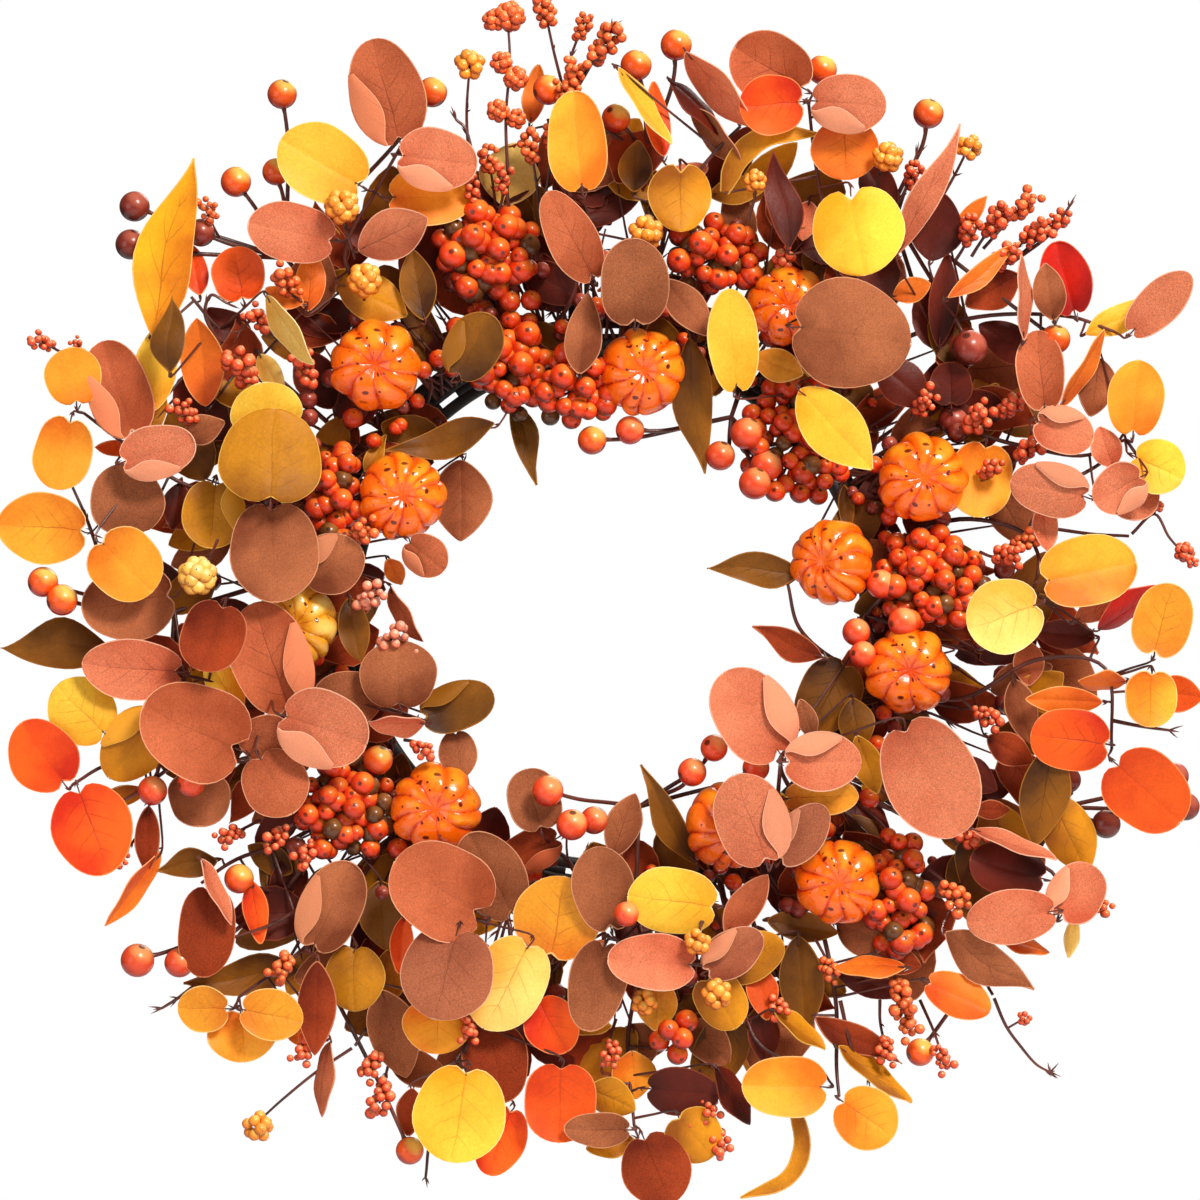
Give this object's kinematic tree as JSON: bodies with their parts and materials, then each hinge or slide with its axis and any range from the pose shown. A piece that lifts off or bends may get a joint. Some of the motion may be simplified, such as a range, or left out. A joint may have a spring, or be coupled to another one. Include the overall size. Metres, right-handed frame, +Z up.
{
  "type": "door wreath",
  "caption": "Round harvest door wreath of faux eucalyptus leaves, small foam pumpkins, berry sprays and seed picks on a slotted plastic ring with a folding wire hanger",
  "frame": {"origin": "the point on the wreath's back plane at the height of the inside of the hanger's top, where a hook holds it", "axes": "+Z up, -Y is the front that faces the viewer, +X to the right as seen from the front; the flat back is the plane y = 0"},
  "size_m": [0.5987, 0.0833, 0.5993],
  "materials": {
    "ring_plastic": "moulded",
    "hanger_wire": "satin",
    "leaf_yellow": "printed",
    "leaf_amber": "printed",
    "leaf_mustard": "printed",
    "leaf_brown": "printed",
    "leaf_terracotta": "printed",
    "leaf_salmon": "printed",
    "leaf_orange_red": "printed",
    "leaf_maroon": "printed",
    "pumpkin_orange": "lacquered foam",
    "pumpkin_yellow": "lacquered foam",
    "berry_red": "lacquered foam",
    "berry_big": "lacquered foam",
    "seed_orange": "moulded"
  },
  "bodies": {
    "frame": {"base_ring": "ring_plastic", "pumpkin_01": "pumpkin_orange", "pumpkin_02": "pumpkin_orange", "pumpkin_03": "pumpkin_orange", "pumpkin_04": "pumpkin_orange", "pumpkin_05": "pumpkin_orange", "pumpkin_06": "pumpkin_orange", "pumpkin_07": "pumpkin_orange", "pumpkin_08": "pumpkin_orange", "pumpkin_09": "pumpkin_orange", "pumpkin_10": "pumpkin_orange", "pumpkin_11": "pumpkin_yellow", "berry_pick_01": "berry_big", "berry_pick_02": "berry_big", "berry_pick_03": "berry_big", "berry_pick_04": "berry_big", "berry_pick_05": "berry_big", "berry_pick_06": "berry_big", "berry_pick_07": "berry_big", "berry_pick_08": "berry_big", "berry_pick_09": "berry_big", "berry_cluster_01": "berry_red", "berry_cluster_02": "berry_red", "berry_cluster_03": "berry_red", "berry_cluster_04": "berry_red", "berry_cluster_05": "berry_red", "berry_cluster_06": "berry_red", "berry_cluster_07": "berry_red", "berry_cluster_08": "berry_red", "berry_cluster_09": "berry_red", "berry_cluster_10": "berry_red", "leaf_bunch_01": "leaf_salmon", "leaf_bunch_02": "leaf_mustard", "leaf_bunch_03": "leaf_yellow", "leaf_bunch_04": "leaf_brown", "leaf_bunch_05": "leaf_terracotta", "leaf_bunch_06": "leaf_orange_red", "leaf_bunch_07": "leaf_brown", "leaf_bunch_08": "leaf_yellow", "leaf_bunch_09": "leaf_terracotta", "leaf_bunch_10": "leaf_orange_red", "leaf_bunch_11": "leaf_yellow", "leaf_bunch_12": "leaf_brown", "leaf_bunch_13": "leaf_mustard", "leaf_bunch_14": "leaf_orange_red", "leaf_bunch_15": "leaf_salmon", "leaf_bunch_16": "leaf_salmon", "leaf_bunch_17": "leaf_orange_red", "leaf_bunch_18": "leaf_amber", "leaf_bunch_19": "leaf_salmon", "leaf_bunch_20": "leaf_maroon", "leaf_bunch_21": "leaf_yellow", "leaf_bunch_22": "leaf_brown", "leaf_bunch_23": "leaf_terracotta", "leaf_bunch_24": "leaf_brown"},
    "hanger": {"hanger_bail": "hanger_wire"},
    "spray_top": {"seed_spray_top": "seed_orange"},
    "twig_right": {"seed_twig_right": "seed_orange"},
    "twig_low_right": {"seed_twig_low_right": "seed_orange"},
    "flower_low_left": {"seed_flower_low_left": "seed_orange"}
  },
  "joints": [
    {"name": "hanger_fold", "type": "hinge", "parent": "frame", "child": "hanger", "pos_m": [0, -0.004, -0.0289], "axis": [1, 0, 0], "range_deg": [-110, 0]},
    {"name": "spray_top_bend", "type": "hinge", "parent": "frame", "child": "spray_top", "pos_m": [-0.051, -0.05, 0.0356], "axis": [1, 0, 0], "range_deg": [-8, 8]},
    {"name": "twig_right_bend", "type": "hinge", "parent": "frame", "child": "twig_right", "pos_m": [0.261, -0.044, -0.1434], "axis": [0, 0, 1], "range_deg": [-8, 8]},
    {"name": "twig_low_right_bend", "type": "hinge", "parent": "frame", "child": "twig_low_right", "pos_m": [0.192, -0.046, -0.3754], "axis": [0.76, 0, 0.65], "range_deg": [-8, 8]},
    {"name": "flower_low_left_bend", "type": "hinge", "parent": "frame", "child": "flower_low_left", "pos_m": [-0.129, -0.046, -0.4004], "axis": [0.829, 0, -0.5593], "range_deg": [-2, 8]}
  ]
}
